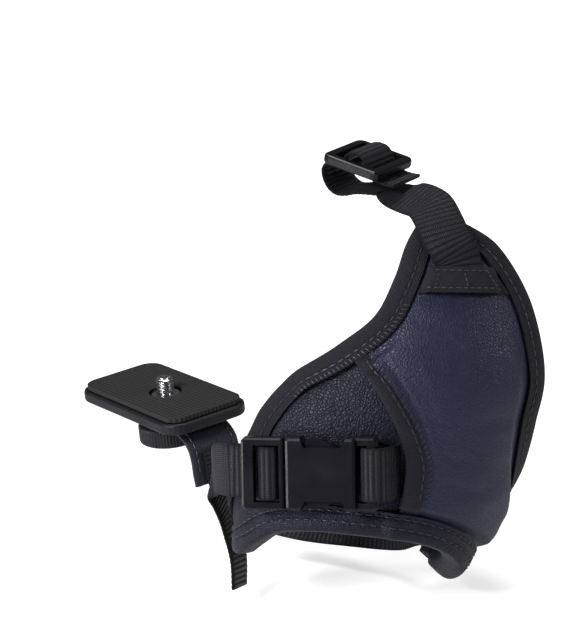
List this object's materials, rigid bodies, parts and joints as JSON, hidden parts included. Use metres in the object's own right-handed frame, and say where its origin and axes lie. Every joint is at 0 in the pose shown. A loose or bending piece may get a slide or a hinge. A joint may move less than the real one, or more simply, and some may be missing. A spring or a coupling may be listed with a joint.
{
  "type": "camera hand grip strap",
  "caption": "Padded leather camera hand strap: grip pad, wrist webbing with side-release buckle, lug webbing with slider, and a base plate with tripod screw.",
  "frame": {"origin": "the tripod screw's axis at the rubber face that the camera stands on", "axes": "+Z along the tripod screw, up into the camera; +X to the right of the view from behind the camera; +Y away from the viewer, towards the lens; the wearer's hand points up inside the pad"},
  "size_m": [0.1524, 0.1734, 0.1357],
  "materials": {
    "leather": "pebbled, satin, blue-black",
    "suede_lining": "napped microfibre, matt",
    "foam": "closed-cell foam, hidden",
    "tape": "woven binding tape, matt",
    "webbing": "cross-ribbed nylon webbing, slight sheen",
    "plastic": "moulded acetal, satin",
    "knob_plastic": "moulded plastic, finely ribbed rim",
    "plate_rubber": "ribbed non-slip face, matt",
    "nylon": "plain washer",
    "steel": "bright plated steel"
  },
  "bodies": {
    "strap": {"palm_lining": "suede_lining", "foam_pad": "foam", "base_leather": "leather", "overlay_leather": "leather", "edge_binding": "tape", "hem_binding": "leather", "pocket_binding": "tape", "anchor_band": "tape", "wrist_webbing_short": "webbing", "wrist_webbing_long": "webbing", "upper_webbing": "webbing", "lower_webbing": "webbing", "buckle_socket": "plastic", "upper_slider": "plastic", "base_plate": "plastic", "base_plate_rubber": "plate_rubber", "base_tab": "leather", "tab_eyelet": "steel", "stud_washer": "nylon"},
    "screw": {"tripod_stud": "steel", "tripod_knob": "knob_plastic", "stud_ring": "steel"},
    "plug": {"buckle_plug": "plastic"}
  },
  "joints": [
    {"name": "screw_spin", "type": "hinge", "parent": "strap", "child": "screw", "pos_m": [0, 0, 0], "axis": [0, 0, 1], "continuous": true},
    {"name": "buckle_release", "type": "slide", "parent": "strap", "child": "plug", "axis": [-0.9708, 0.2389, 0.0207], "range_m": [0, 0.022], "deforming": ["buckle_plug", "wrist_webbing_long"]}
  ]
}
